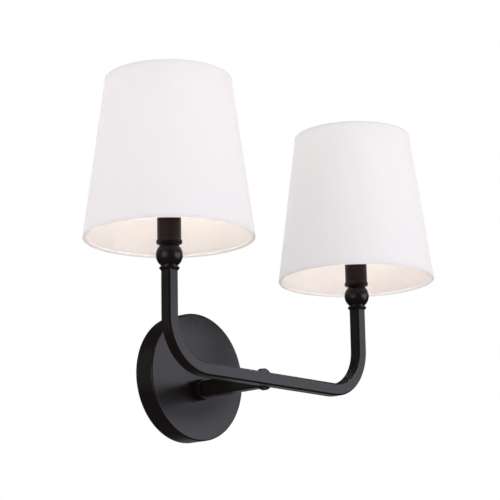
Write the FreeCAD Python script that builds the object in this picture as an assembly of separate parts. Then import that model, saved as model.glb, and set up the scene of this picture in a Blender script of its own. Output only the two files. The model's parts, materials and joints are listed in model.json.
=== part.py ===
import FreeCAD, Part
import math
import os

# A double arm wall sconce, in millimetres.
# The wall is the plane Y = 0 and the room is on the -Y side. +X is to the right and +Z is up.
# The origin is the centre of the round canopy, on the wall.

# Canopy and what holds it to the wall
canopy_diameter = 127.0
canopy_depth = 22.2
canopy_wall = 1.2
canopy_edge_radius = 1.6
boss_diameter = 8.0
boss_length = 3.0
set_screw_diameter = 4.0
set_screw_height = 9.0
set_screw_slot_width = 0.8
set_screw_slot_depth = 1.0
dog_point_diameter = 2.6
dog_point_length = 2.2
strap_width = 20.0
strap_thickness = 2.0
strap_slot_spacing = 79.4
strap_slot_width = 4.6
strap_slot_length = 14.1
ear_height = 14.0
ground_screw_diameter = 4.0
ground_screw_head_diameter = 9.0
ground_screw_head_height = 2.4
ground_screw_offset = 22.0

# Stem between the canopy and the arm
stem_width = 12.2
stem_height = 15.8
stem_wall = 1.0
stem_corner = 1.5
collar_diameter = 21.0
collar_edge = 0.6
rear_collar_length = 10.0
rear_collar_groove_width = 0.8
rear_collar_groove_depth = 0.5
rear_collar_first_groove = 3.1
rear_collar_second_groove = 6.1
front_collar_length = 4.5
pipe_diameter = 8.0
pipe_bore = 5.8
pipe_overhang = 1.5
lock_washer_diameter = 15.0
lock_washer_thickness = 1.2
lock_nut_width = 13.0
lock_nut_thickness = 3.0

# Arm, one square tube bent up at both ends
arm_drop = 15.2
arm_reach = 118.3
light_spacing = 266.0
arm_rise = 86.6
arm_section = 12.2
arm_wall = 1.2
arm_corner = 1.5
arm_bend_radius = 44.45

# Turned pieces on top of each upright
cap_taper_diameter = 15.6
cap_taper_height = 1.2
cap_diameter = 18.6
cap_thickness = 1.8
cap_edge = 0.4
plug_length = 9.0
ball_diameter = 24.8
neck_diameter = 15.2
neck_length = 1.5
ball_top_diameter = 15.4
cup_foot_diameter = 16.4
cup_foot_height = 0.9
cup_lip_diameter = 23.8
cup_floor = 2.1
cup_height = 4.1
cup_edge = 0.3
nipple_diameter = 7.6
nipple_bore = 5.6
nipple_overhang = 1.2
nipple_nut_width = 11.0
nipple_nut_thickness = 2.5

# Lamp holder inside each candle sleeve
sleeve_diameter = 22.2
sleeve_wall = 0.8
sleeve_length = 54.0
leg_thickness = 1.2
leg_width = 9.0
leg_reach = 9.0
leg_foot_thickness = 1.5
holder_body_diameter = 19.0
holder_floor = 6.0
holder_flange_diameter = 31.0
holder_flange_thickness = 2.0
holder_thread_diameter = 26.0
holder_thread_length = 9.0
shell_depth = 20.0
shell_diameter = 13.0
shell_wall = 0.35
shell_step = 0.6
contact_diameter = 6.4
contact_height = 1.5
rivet_diameter = 3.0
rivet_length = 2.0
terminal_depth = 3.0

# Shade and the ring that holds it down
shade_bottom_diameter = 159.0
shade_top_diameter = 118.6
shade_height = 152.4
shade_hub_height = 52.1
tape_thickness = 0.3
tape_height = 3.5
cover_thickness = 0.5
liner_thickness = 0.5
hoop_wire_diameter = 2.4
hub_diameter = 36.0
hub_thickness = 1.2
spoke_count = 3
spoke_foot_radius = 17.6
ring_diameter = 31.0
ring_height = 5.0
ring_flute_count = 24
ring_flute_diameter = 1.6
ring_flute_depth = 0.5

# Candle bulb
bulb_tip_height = 1.5
bulb_tip_diameter = 4.4
bulb_cap_diameter = 11.7
bulb_cap_length = 17.5
bulb_cap_taper = 2.0
bulb_cap_wall = 0.5
bulb_insulator_diameter = 7.0
bulb_neck_diameter = 12.4
bulb_glass_diameter = 24.0
bulb_glass_length = 70.0
bulb_glass_wall = 0.9
bulb_widest_height = 25.0
bulb_shoulder = 20.0
bulb_tip_radius = 1.2

# Wiring
lead_diameter = 1.8
lead_pitch = 2.0
lead_turn_radius = 6.0
connector_mouth_diameter = 11.0
connector_tip_diameter = 7.5
connector_length = 20.0
connector_taper_length = 17.0
connector_bore_depth = 12.0
connector_offset = 15.0
lead_insertion = 8.0
ground_lead_diameter = 1.6
ground_lead_turn = 4.0
ground_lead_tail = 3.0

# Fits
thread_clearance = 0.05
slip_clearance = 0.1
lift_clearance = 0.3
ear_clearance = 0.2
seat_gap = 0.02

# Places that follow from the sizes
canopy_radius = canopy_diameter / 2
canopy_rim_inside = canopy_radius - canopy_wall
canopy_inside = canopy_depth - canopy_wall
arm_axis = -arm_drop
stem_axis = arm_axis - arm_section / 2 + stem_height / 2
arm_back = arm_reach - arm_section / 2
stem_rear = canopy_depth + rear_collar_length
stem_front = arm_back - front_collar_length
half_spacing = light_spacing / 2
cap_seat = arm_axis + arm_rise
cap_ring_base = cap_seat + cap_taper_height
neck_base = cap_ring_base + cap_thickness
ball_radius = ball_diameter / 2
ball_centre = neck_base + neck_length + math.sqrt(ball_radius**2 - (neck_diameter / 2) ** 2)
cup_seat = ball_centre + math.sqrt(ball_radius**2 - (ball_top_diameter / 2) ** 2)
sleeve_seat = cup_seat + cup_floor
sleeve_top = sleeve_seat + sleeve_length
hub_seat = sleeve_top + holder_flange_thickness
ring_seat = hub_seat + hub_thickness
holder_top = hub_seat + holder_thread_length
holder_floor_top = holder_top - shell_depth
holder_bottom = holder_floor_top - holder_floor
contact_top = holder_floor_top + contact_height
bulb_base = contact_top + bulb_tip_height
bulb_glass_base = bulb_base + bulb_cap_length
shade_bottom = hub_seat - shade_hub_height
shade_top = shade_bottom + shade_height
shade_lean = (shade_bottom_diameter - shade_top_diameter) / 2 / shade_height
shade_wall = 2 * tape_thickness + cover_thickness + liner_thickness
pipe_end = canopy_inside - lock_washer_thickness - lock_nut_thickness - pipe_overhang
nipple_nut_seat = sleeve_seat + leg_foot_thickness
wiring_depth = (pipe_end + strap_thickness) / 2
lead_lane = lead_pitch / 2
connector_bore = lead_pitch + lead_diameter
sides = {"left": -1, "right": 1}

UP = FreeCAD.Vector(0, 0, 1)
CENTRE = FreeCAD.Vector(0, 0, 0)


def point(x, y, z):
    return FreeCAD.Vector(x, y, z)


def rod(diameter, bottom, top):
    """A round bar about the Z axis between two heights."""
    return Part.makeCylinder(diameter / 2, top - bottom, point(0, 0, bottom), UP)


def tube(outer, inner, bottom, top):
    return rod(outer, bottom, top).cut(rod(inner, bottom, top))


def bar(start, end, diameter):
    """A round bar from one point to another."""
    run = end - start
    return Part.makeCylinder(diameter / 2, run.Length, start, run)


def arc_to(centre, radius, first, last):
    """An arc step of an outline, about centre (radius, height), between two angles in degrees."""
    middle = math.radians((first + last) / 2)
    end = math.radians(last)
    return (
        centre[0] + radius * math.cos(middle),
        centre[1] + radius * math.sin(middle),
        centre[0] + radius * math.cos(end),
        centre[1] + radius * math.sin(end),
    )


def turned(outline):
    """Turn a closed outline of (radius, height) points about the Z axis. A step of four numbers is an arc."""
    edges = []
    last = outline[0]
    for step in outline[1:] + outline[:1]:
        end = step[-2:]
        here = point(last[0], 0, last[1])
        there = point(end[0], 0, end[1])
        if len(step) == 4:
            edges.append(Part.Arc(here, point(step[0], 0, step[1]), there).toShape())
        else:
            edges.append(Part.LineSegment(here, there).toShape())
        last = end
    return Part.Face(Part.Wire(edges)).revolve(CENTRE, UP, 360)


def out_of_wall(shape, height):
    """Turn a shape made upwards about the Z axis so that it points into the room, at a height on the wall."""
    shape.rotate(CENTRE, point(1, 0, 0), 90)
    shape.translate(point(0, 0, height))
    return shape


def on_upright(shape, side):
    """Move a shape made about the Z axis onto the upright of one side."""
    shape.translate(point(side * half_spacing, -arm_reach, 0))
    return shape


def cut_corner_face(width, height, corner):
    """A rectangle with cut corners in the XZ plane, about the origin."""
    across = width / 2
    up = height / 2
    corners = [
        (across - corner, up),
        (across, up - corner),
        (across, corner - up),
        (across - corner, -up),
        (corner - across, -up),
        (-across, corner - up),
        (-across, up - corner),
        (corner - across, up),
    ]
    points = [point(x, 0, z) for x, z in corners]
    return Part.Face(Part.makePolygon(points + points[:1]))


def tube_section(width, height, wall, corner):
    """The section of a hollow tube with cut corners and one wall thickness all round."""
    inner_corner = corner - wall * (2 - math.sqrt(2))
    inner = cut_corner_face(width - 2 * wall, height - 2 * wall, inner_corner)
    return cut_corner_face(width, height, corner).cut(inner).Faces[0]


def hexagon(width, bottom, top):
    """A hexagonal bar about the Z axis, its width measured across the flats."""
    reach = width / math.sqrt(3)
    turns = [math.radians(60 * number) for number in range(7)]
    wire = Part.makePolygon([point(reach * math.cos(turn), reach * math.sin(turn), bottom) for turn in turns])
    return Part.Face(wire).extrude(point(0, 0, top - bottom))


def wire_through(points, radii, diameter):
    """A round wire on straight runs through the points, with an arc of its own radius at each corner."""
    edges = []
    last = points[0]
    for before, corner, after, radius in zip(points, points[1:], points[2:], radii):
        into = (corner - before).normalize()
        out = (after - corner).normalize()
        half_turn = into.getAngle(out) / 2
        start = corner - into * radius * math.tan(half_turn)
        end = corner + out * radius * math.tan(half_turn)
        inward = (out - into).normalize()
        middle = corner + inward * (radius / math.cos(half_turn) - radius)
        edges.append(Part.LineSegment(last, start).toShape())
        edges.append(Part.Arc(start, middle, end).toShape())
        last = end
    edges.append(Part.LineSegment(last, points[-1]).toShape())
    heading = (points[1] - points[0]).normalize()
    section = Part.Wire(Part.Circle(points[0], heading, diameter / 2).toShape())
    return Part.Wire(edges).makePipeShell([section], True, False)


def canopy():
    """A shallow pressed dish with a rounded front edge and two tapped bosses inside its rim."""
    inner_edge = canopy_edge_radius - canopy_wall
    dish = turned(
        [
            (0, canopy_depth),
            (0, canopy_inside),
            (canopy_rim_inside - inner_edge, canopy_inside),
            arc_to((canopy_rim_inside - inner_edge, canopy_inside - inner_edge), inner_edge, 90, 0),
            (canopy_rim_inside, 0),
            (canopy_radius, 0),
            (canopy_radius, canopy_depth - canopy_edge_radius),
            arc_to((canopy_radius - canopy_edge_radius, canopy_depth - canopy_edge_radius), canopy_edge_radius, 0, 90),
        ]
    )
    pipe_hole = out_of_wall(rod(pipe_diameter + 2 * slip_clearance, 0, canopy_depth), arm_axis)
    dish = out_of_wall(dish, 0).cut(pipe_hole)
    for end in (-1, 1):
        outer = point(0, -set_screw_height, end * (canopy_rim_inside + canopy_wall / 2))
        inner = point(0, -set_screw_height, end * (canopy_rim_inside - boss_length))
        beyond = point(0, -set_screw_height, end * canopy_diameter)
        dish = dish.fuse(bar(inner, outer, boss_diameter))
        dish = dish.cut(bar(inner, beyond, set_screw_diameter + 2 * thread_clearance))
    return dish


def mounting_strap():
    """The strip that is screwed to the wall box. Its ends are bent forward and hold the canopy."""
    ear_face = canopy_rim_inside - boss_length - ear_clearance
    ear_inside = ear_face - strap_thickness
    profile = [
        (0, ear_face),
        (ear_height, ear_face),
        (ear_height, ear_inside),
        (strap_thickness, ear_inside),
        (strap_thickness, -ear_inside),
        (ear_height, -ear_inside),
        (ear_height, -ear_face),
        (0, -ear_face),
    ]
    points = [point(-strap_width / 2, -depth, height) for depth, height in profile]
    strap = Part.Face(Part.makePolygon(points + points[:1])).extrude(point(strap_width, 0, 0))
    for end in (-1, 1):
        middle = end * strap_slot_spacing / 2
        straight = strap_slot_length - strap_slot_width
        slot = Part.makeBox(
            strap_slot_width,
            strap_thickness,
            straight,
            point(-strap_slot_width / 2, -strap_thickness, middle - straight / 2),
        )
        for height in (middle - straight / 2, middle + straight / 2):
            slot = slot.fuse(out_of_wall(rod(strap_slot_width, 0, strap_thickness), height))
        strap = strap.cut(slot)
        inside = point(0, -set_screw_height, end * ear_inside)
        outside = point(0, -set_screw_height, end * ear_face)
        strap = strap.cut(bar(inside, outside, dog_point_diameter + 2 * ear_clearance))
    tapping = rod(ground_screw_diameter + 2 * thread_clearance, 0, strap_thickness)
    return strap.cut(out_of_wall(tapping, ground_screw_offset))


def set_screws():
    """Two slotted screws without heads in the canopy's bosses. Their points sit in the strap's ears."""
    screws = []
    outer = canopy_radius - seat_gap
    shoulder = canopy_rim_inside - boss_length
    for end in (-1, 1):
        screw = rod(set_screw_diameter, shoulder, outer)
        screw = screw.fuse(rod(dog_point_diameter, shoulder - dog_point_length, shoulder))
        slot = Part.makeBox(
            set_screw_diameter,
            set_screw_slot_width,
            set_screw_slot_depth,
            point(-set_screw_diameter / 2, -set_screw_slot_width / 2, outer - set_screw_slot_depth),
        )
        screw = screw.cut(slot)
        if end < 0:
            screw.rotate(CENTRE, point(0, 1, 0), 180)
        screw.translate(point(0, -set_screw_height, 0))
        screws.append(screw)
    return Part.makeCompound(screws)


def ground_screw():
    """The screw in the strap that clamps the ground lead under its head."""
    head_base = strap_thickness + ground_lead_diameter
    screw = rod(ground_screw_diameter, 0, head_base)
    screw = screw.fuse(rod(ground_screw_head_diameter, head_base, head_base + ground_screw_head_height))
    return out_of_wall(screw, ground_screw_offset)


def stem_pipe():
    """The hollow threaded pipe that pulls the stem between canopy and arm and carries the leads."""
    return out_of_wall(tube(pipe_diameter, pipe_bore, pipe_end, arm_back + arm_wall), arm_axis)


def lock_washer():
    bore = pipe_diameter + 2 * slip_clearance
    return out_of_wall(tube(lock_washer_diameter, bore, canopy_inside - lock_washer_thickness, canopy_inside), arm_axis)


def lock_nut():
    top = canopy_inside - lock_washer_thickness
    nut = hexagon(lock_nut_width, top - lock_nut_thickness, top)
    nut = nut.cut(rod(pipe_diameter + 2 * thread_clearance, top - lock_nut_thickness, top))
    return out_of_wall(nut, arm_axis)


def collar(base, length, grooves):
    """A round collar about the stem, from a distance off the wall, bored for the pipe below its middle."""
    radius = collar_diameter / 2
    outline = [
        (0, base),
        (radius - collar_edge, base),
        (radius, base + collar_edge),
    ]
    for groove in grooves:
        outline += [
            (radius, base + groove),
            (radius - rear_collar_groove_depth, base + groove),
            (radius - rear_collar_groove_depth, base + groove + rear_collar_groove_width),
            (radius, base + groove + rear_collar_groove_width),
        ]
    outline += [
        (radius, base + length - collar_edge),
        (radius - collar_edge, base + length),
        (0, base + length),
    ]
    hole = rod(pipe_diameter + 2 * slip_clearance, base, base + length)
    hole.translate(point(0, arm_axis - stem_axis, 0))
    return out_of_wall(turned(outline).cut(hole), stem_axis)


def rear_collar():
    return collar(canopy_depth, rear_collar_length, (rear_collar_first_groove, rear_collar_second_groove))


def front_collar():
    return collar(stem_front, front_collar_length, ())


def stem_tube():
    """The upright oblong tube between the two collars."""
    body = tube_section(stem_width, stem_height, stem_wall, stem_corner)
    body = body.extrude(point(0, stem_rear - stem_front, 0))
    body.translate(point(0, -stem_rear, stem_axis))
    return body


def arm_tube():
    """A square tube with a level run, two bends and two uprights, tapped behind its middle for the pipe."""
    section = tube_section(arm_section, arm_section, arm_wall, arm_corner)
    section.rotate(CENTRE, UP, 90)
    section.translate(point(0, -arm_reach, arm_axis))
    straight = half_spacing - arm_bend_radius
    start = section.copy()
    start.translate(point(-straight, 0, 0))
    arm = start.extrude(point(2 * straight, 0, 0))
    for side in (-1, 1):
        near = section.copy()
        near.translate(point(side * straight, 0, 0))
        pivot = point(side * straight, -arm_reach, arm_axis + arm_bend_radius)
        bend = near.revolve(pivot, point(0, -side, 0), 90)
        far = near.copy()
        far.rotate(pivot, point(0, -side, 0), 90)
        upright = far.extrude(point(0, 0, arm_rise - arm_bend_radius))
        arm = arm.fuse([bend, upright])
    hole = rod(pipe_diameter + 2 * thread_clearance, arm_back, arm_back + arm_wall)
    return arm.removeSplitter().cut(out_of_wall(hole, arm_axis))


def arm_cap(side):
    """The round cap on an upright. A plug below it fits in the tube and is tapped for the nipple."""
    radius = cap_diameter / 2
    cap = turned(
        [
            (0, cap_seat),
            (cap_taper_diameter / 2, cap_seat),
            (radius - cap_edge, cap_ring_base),
            (radius, cap_ring_base + cap_edge),
            (radius, neck_base - cap_edge),
            (radius - cap_edge, neck_base),
            (0, neck_base),
        ]
    )
    plug_width = arm_section - 2 * arm_wall - 2 * slip_clearance
    plug = cut_corner_face(plug_width, plug_width, arm_corner)
    plug.rotate(CENTRE, point(1, 0, 0), 90)
    plug.translate(point(0, 0, cap_seat - plug_length))
    cap = cap.fuse(plug.extrude(point(0, 0, plug_length)))
    return on_upright(cap.cut(rod(nipple_diameter + 2 * thread_clearance, cap_seat - plug_length, neck_base)), side)


def ball_knop(side):
    """The turned ball with its short neck, bored through for the nipple."""
    bore = nipple_diameter / 2 + slip_clearance
    first = -math.degrees(math.acos(neck_diameter / ball_diameter))
    last = math.degrees(math.acos(ball_top_diameter / ball_diameter))
    knop = turned(
        [
            (bore, neck_base),
            (neck_diameter / 2, neck_base),
            (neck_diameter / 2, neck_base + neck_length),
            arc_to((0, ball_centre), ball_radius, first, last),
            (bore, cup_seat),
        ]
    )
    return on_upright(knop, side)


def socket_cup(side):
    """The shallow cup with a flared lip that the candle sleeve stands in."""
    bore = nipple_diameter / 2 + slip_clearance
    seat = sleeve_diameter / 2 + slip_clearance
    foot = cup_foot_diameter / 2
    lip = cup_lip_diameter / 2
    top = cup_seat + cup_height
    cup = turned(
        [
            (bore, cup_seat),
            (foot, cup_seat),
            (foot, cup_seat + cup_foot_height),
            (lip - cup_edge, cup_seat + cup_foot_height + cup_edge),
            (lip, cup_seat + cup_foot_height + 2 * cup_edge),
            (lip, top - cup_edge),
            (lip - cup_edge, top),
            (seat, top),
            (seat, sleeve_seat),
            (bore, sleeve_seat),
        ]
    )
    return on_upright(cup, side)


def socket_nipple(side):
    """The hollow threaded nipple from the upright's plug up through ball and cup to its nut."""
    top = nipple_nut_seat + nipple_nut_thickness + nipple_overhang
    return on_upright(tube(nipple_diameter, nipple_bore, cap_seat - plug_length, top), side)


def nipple_nut(side):
    top = nipple_nut_seat + nipple_nut_thickness
    nut = hexagon(nipple_nut_width, nipple_nut_seat, top)
    return on_upright(nut.cut(rod(nipple_diameter + 2 * thread_clearance, nipple_nut_seat, top)), side)


def candle_sleeve(side):
    return on_upright(tube(sleeve_diameter, sleeve_diameter - 2 * sleeve_wall, sleeve_seat, sleeve_top), side)


def holder_leg(side):
    """The steel leg: a foot under the nut, a strip up one side and a tab under the lamp holder."""
    strip_face = leg_reach - leg_thickness
    profile = [
        (-strip_face, sleeve_seat),
        (leg_reach, sleeve_seat),
        (leg_reach, holder_bottom),
        (-strip_face, holder_bottom),
        (-strip_face, holder_bottom - leg_thickness),
        (strip_face, holder_bottom - leg_thickness),
        (strip_face, nipple_nut_seat),
        (-strip_face, nipple_nut_seat),
    ]
    points = [point(-leg_width / 2, depth, height) for depth, height in profile]
    leg = Part.Face(Part.makePolygon(points + points[:1])).extrude(point(leg_width, 0, 0))
    leg = leg.cut(rod(nipple_diameter + 2 * slip_clearance, sleeve_seat, nipple_nut_seat))
    leg = leg.cut(rod(nipple_bore, holder_bottom - leg_thickness, holder_bottom))
    return on_upright(leg, side)


def lamp_holder(side):
    """The moulded lamp holder. Its flange sits on the sleeve and the outside thread above it takes the ring."""
    bore = shell_diameter / 2 + slip_clearance
    holder = turned(
        [
            (0, holder_bottom),
            (holder_body_diameter / 2, holder_bottom),
            (holder_body_diameter / 2, sleeve_top),
            (holder_flange_diameter / 2, sleeve_top),
            (holder_flange_diameter / 2, hub_seat),
            (holder_thread_diameter / 2, hub_seat),
            (holder_thread_diameter / 2, holder_top),
            (bore, holder_top),
            (bore, holder_floor_top),
            (rivet_diameter / 2, holder_floor_top),
            (rivet_diameter / 2, holder_floor_top - rivet_length),
            (0, holder_floor_top - rivet_length),
        ]
    )
    for pole in (-1, 1):
        terminal = rod(lead_diameter + 2 * seat_gap, holder_bottom, holder_bottom + terminal_depth)
        terminal.translate(point(pole * lead_lane, 0, 0))
        holder = holder.cut(terminal)
    return on_upright(holder, side)


def screw_shell(side):
    """The brass shell that takes the bulb's cap."""
    inner = shell_diameter - 2 * shell_wall
    return on_upright(tube(shell_diameter, inner, holder_floor_top, holder_top - shell_step), side)


def centre_contact(side):
    """The brass contact in the floor of the lamp holder, with its rivet."""
    contact = rod(contact_diameter, holder_floor_top, contact_top)
    rivet = rod(rivet_diameter - 2 * seat_gap, holder_floor_top - rivet_length + seat_gap, holder_floor_top)
    return on_upright(contact.fuse(rivet), side)


def shade_radius(height, inset):
    """The outside radius of the shade at a height, less an inset."""
    return shade_bottom_diameter / 2 - shade_lean * (height - shade_bottom) - inset


def shade_band(bottom, top, outer_inset, inner_inset):
    """A tapered band that follows the shade's wall between two insets from its outside."""
    return turned(
        [
            (shade_radius(bottom, inner_inset), bottom),
            (shade_radius(bottom, outer_inset), bottom),
            (shade_radius(top, outer_inset), top),
            (shade_radius(top, inner_inset), top),
        ]
    )


def shade_cover(side):
    """The fabric outside of the tapered drum."""
    inner = tape_thickness + cover_thickness
    return on_upright(
        shade_band(shade_bottom + tape_thickness, shade_top - tape_thickness, tape_thickness, inner), side
    )


def shade_liner(side):
    """The stiff liner behind the fabric."""
    outer = tape_thickness + cover_thickness
    inner = outer + liner_thickness
    return on_upright(shade_band(shade_bottom + tape_thickness, shade_top - tape_thickness, outer, inner), side)


def shade_tapes(side):
    """The fabric tapes folded over the lower and upper edges of the drum."""
    tapes = []
    for edge, inward in ((shade_bottom, 1), (shade_top, -1)):
        bottom, top = sorted((edge, edge + inward * tape_height))
        core_bottom, core_top = sorted((edge + inward * tape_thickness, edge + inward * 2 * tape_height))
        tape = shade_band(bottom, top, 0, shade_wall)
        tapes.append(tape.cut(shade_band(core_bottom, core_top, tape_thickness, shade_wall - tape_thickness)))
    return on_upright(Part.makeCompound(tapes), side)


def hoop_radius(height):
    """The radius of a wire hoop that just clears the inside of the shade's wall."""
    slant = math.sqrt(1 + shade_lean**2)
    return shade_radius(height, shade_wall + seat_gap) - hoop_wire_diameter / 2 * slant


def shade_bottom_hoop(side):
    """The wire hoop inside the lower edge."""
    height = shade_bottom + hoop_wire_diameter / 2
    return on_upright(Part.makeTorus(hoop_radius(height), hoop_wire_diameter / 2, point(0, 0, height), UP), side)


def shade_top_hoop(side):
    """The wire hoop inside the upper edge, which the spokes are welded to."""
    height = shade_top - hoop_wire_diameter / 2
    return on_upright(Part.makeTorus(hoop_radius(height), hoop_wire_diameter / 2, point(0, 0, height), UP), side)


def shade_hub(side):
    """The flat washer on the lamp holder's flange, which carries the spokes."""
    return on_upright(tube(hub_diameter, holder_thread_diameter + 2 * lift_clearance, hub_seat, ring_seat), side)


def shade_spokes(side):
    """Three straight wires from the hub up to the top hoop, their ends shaped to what they are welded to."""
    height = shade_top - hoop_wire_diameter / 2
    reach = hoop_radius(height)
    blocks = [
        rod(2 * hub_diameter, hub_seat - hub_diameter, hub_seat),
        tube(hub_diameter, holder_thread_diameter, hub_seat, ring_seat),
        Part.makeTorus(reach, hoop_wire_diameter / 2, point(0, 0, height), UP),
    ]
    spokes = []
    for number in range(spoke_count):
        turn = math.radians(90 + 360 / spoke_count * number)
        outward = point(math.cos(turn), math.sin(turn), 0)
        foot = outward * spoke_foot_radius + UP * (hub_seat + hub_thickness / 2)
        spokes.append(bar(foot, outward * reach + UP * height, hoop_wire_diameter).cut(blocks))
    return on_upright(Part.makeCompound(spokes), side)


def shade_ring(side):
    """The ring that screws down on the fitter's hub, with shallow grip flutes."""
    ring = tube(ring_diameter, holder_thread_diameter + 2 * thread_clearance, ring_seat, ring_seat + ring_height)
    reach = ring_diameter / 2 + ring_flute_diameter / 2 - ring_flute_depth
    flutes = []
    for number in range(ring_flute_count):
        turn = 2 * math.pi * number / ring_flute_count
        flute = rod(ring_flute_diameter, ring_seat, ring_seat + ring_height)
        flute.translate(point(reach * math.cos(turn), reach * math.sin(turn), 0))
        flutes.append(flute)
    return on_upright(ring.cut(flutes), side)


def bulb_glass(side):
    """The frosted glass of a slim candle bulb, open below where the cap closes it."""
    neck = bulb_neck_diameter / 2
    widest = bulb_glass_diameter / 2
    middle = bulb_glass_base + bulb_widest_height
    tip = bulb_glass_base + bulb_glass_length

    def shell(inset):
        lower = Part.BezierCurve()
        lower.setPoles(
            [
                point(neck - inset, 0, bulb_glass_base),
                point(neck - inset, 0, bulb_glass_base + bulb_widest_height / 2),
                point(widest - inset, 0, middle - bulb_widest_height / 2),
                point(widest - inset, 0, middle),
            ]
        )
        upper = Part.BezierCurve()
        upper.setPoles(
            [
                point(widest - inset, 0, middle),
                point(widest - inset, 0, middle + bulb_shoulder),
                point(bulb_tip_radius, 0, tip - inset - bulb_shoulder),
                point(bulb_tip_radius, 0, tip - inset),
            ]
        )
        edges = [
            lower.toShape(),
            upper.toShape(),
            Part.LineSegment(point(bulb_tip_radius, 0, tip - inset), point(0, 0, tip - inset)).toShape(),
            Part.LineSegment(point(0, 0, tip - inset), point(0, 0, bulb_glass_base)).toShape(),
            Part.LineSegment(point(0, 0, bulb_glass_base), point(neck - inset, 0, bulb_glass_base)).toShape(),
        ]
        return Part.Face(Part.Wire(edges)).revolve(CENTRE, UP, 360)

    return on_upright(shell(0).cut(shell(bulb_glass_wall)), side)


def bulb_cap(side):
    """The brass screw cap, an open cup below the glass."""
    radius = bulb_cap_diameter / 2
    hole = bulb_insulator_diameter / 2
    cap = turned(
        [
            (hole, bulb_base),
            (radius - bulb_cap_taper, bulb_base),
            (radius, bulb_base + bulb_cap_taper),
            (radius, bulb_glass_base),
            (radius - bulb_cap_wall, bulb_glass_base),
            (radius - bulb_cap_wall, bulb_base + bulb_cap_taper),
            (radius - bulb_cap_taper, bulb_base + bulb_cap_wall),
            (hole, bulb_base + bulb_cap_wall),
        ]
    )
    return on_upright(cap, side)


def bulb_insulator(side):
    """The glass bead that closes the bottom of the cap."""
    return on_upright(rod(bulb_insulator_diameter, bulb_base, bulb_base + bulb_cap_taper), side)


def bulb_tip(side):
    """The solder tip that rests on the centre contact."""
    return on_upright(rod(bulb_tip_diameter, contact_top, bulb_base), side)


def leads(pole):
    """The two leads of one pole, from each lamp holder through the arm and the stem into a connector."""
    lane = pole * lead_lane
    height = arm_axis + lane
    pair = []
    for side in (-1, 1):
        upright = side * (half_spacing - lane)
        inner = side * lead_lane
        depth = wiring_depth + side * lane
        route = [
            point(upright, -arm_reach, holder_bottom + terminal_depth - seat_gap),
            point(upright, -arm_reach, height),
            point(inner, -arm_reach, height),
            point(inner, -depth, height),
            point(pole * (connector_offset + lead_insertion), -depth, height),
        ]
        radii = (arm_bend_radius - lane, lead_turn_radius, lead_turn_radius)
        pair.append(wire_through(route, radii, lead_diameter))
    return Part.makeCompound(pair)


def ground_lead():
    """The bare copper lead, hooked round the ground screw under its head and led into its connector."""
    depth = strap_thickness + ground_lead_diameter / 2
    hook = ground_screw_diameter / 2 + ground_lead_diameter / 2 + seat_gap
    height = ground_screw_offset + hook
    leave = ground_screw_head_diameter / 2
    across = wiring_depth - depth
    route = [
        point(-hook, -depth, ground_screw_offset - ground_lead_tail),
        point(-hook, -depth, height),
        point(leave, -depth, height),
        point(leave + across, -wiring_depth, height),
        point(connector_offset + lead_insertion, -wiring_depth, height),
    ]
    return wire_through(route, (hook, ground_lead_turn, ground_lead_turn), ground_lead_diameter)


def wire_connectors():
    """Three connectors: hot leads on the left, neutral leads on the right, the ground lead above."""
    hook = ground_screw_diameter / 2 + ground_lead_diameter / 2 + seat_gap
    ground_height = ground_screw_offset + hook - (connector_bore - ground_lead_diameter) / 2
    places = ((-1, arm_axis - lead_lane), (1, arm_axis + lead_lane), (1, ground_height))
    connectors = []
    for pole, height in places:
        connector = turned(
            [
                (connector_bore / 2, 0),
                (connector_mouth_diameter / 2, 0),
                (connector_tip_diameter / 2, connector_taper_length),
                (0, connector_length),
                (0, connector_bore_depth),
                (connector_bore / 2, connector_bore_depth),
            ]
        )
        connector.rotate(CENTRE, point(0, 1, 0), 90 * pole)
        connector.translate(point(pole * connector_offset, -wiring_depth, height))
        connectors.append(connector)
    return Part.makeCompound(connectors)


pieces = {
    "canopy": canopy(),
    "mounting_strap": mounting_strap(),
    "set_screws": set_screws(),
    "ground_screw": ground_screw(),
    "stem_pipe": stem_pipe(),
    "lock_washer": lock_washer(),
    "lock_nut": lock_nut(),
    "rear_collar": rear_collar(),
    "stem_tube": stem_tube(),
    "front_collar": front_collar(),
    "arm_tube": arm_tube(),
    "hot_leads": leads(-1),
    "neutral_leads": leads(1),
    "ground_lead": ground_lead(),
    "wire_connectors": wire_connectors(),
}
paired_pieces = {
    "arm_cap": arm_cap,
    "ball_knop": ball_knop,
    "socket_cup": socket_cup,
    "socket_nipple": socket_nipple,
    "nipple_nut": nipple_nut,
    "candle_sleeve": candle_sleeve,
    "holder_leg": holder_leg,
    "lamp_holder": lamp_holder,
    "screw_shell": screw_shell,
    "centre_contact": centre_contact,
    "shade_cover": shade_cover,
    "shade_liner": shade_liner,
    "shade_tapes": shade_tapes,
    "shade_bottom_hoop": shade_bottom_hoop,
    "shade_top_hoop": shade_top_hoop,
    "shade_hub": shade_hub,
    "shade_spokes": shade_spokes,
    "shade_ring": shade_ring,
    "bulb_glass": bulb_glass,
    "bulb_cap": bulb_cap,
    "bulb_insulator": bulb_insulator,
    "bulb_tip": bulb_tip,
}
for piece_name, make_piece in paired_pieces.items():
    for side_name, side in sides.items():
        pieces[side_name + "_" + piece_name] = make_piece(side)

os.makedirs("parts", exist_ok=True)
for piece_name, shape in pieces.items():
    shape.exportStep("parts/" + piece_name + ".step")
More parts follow.
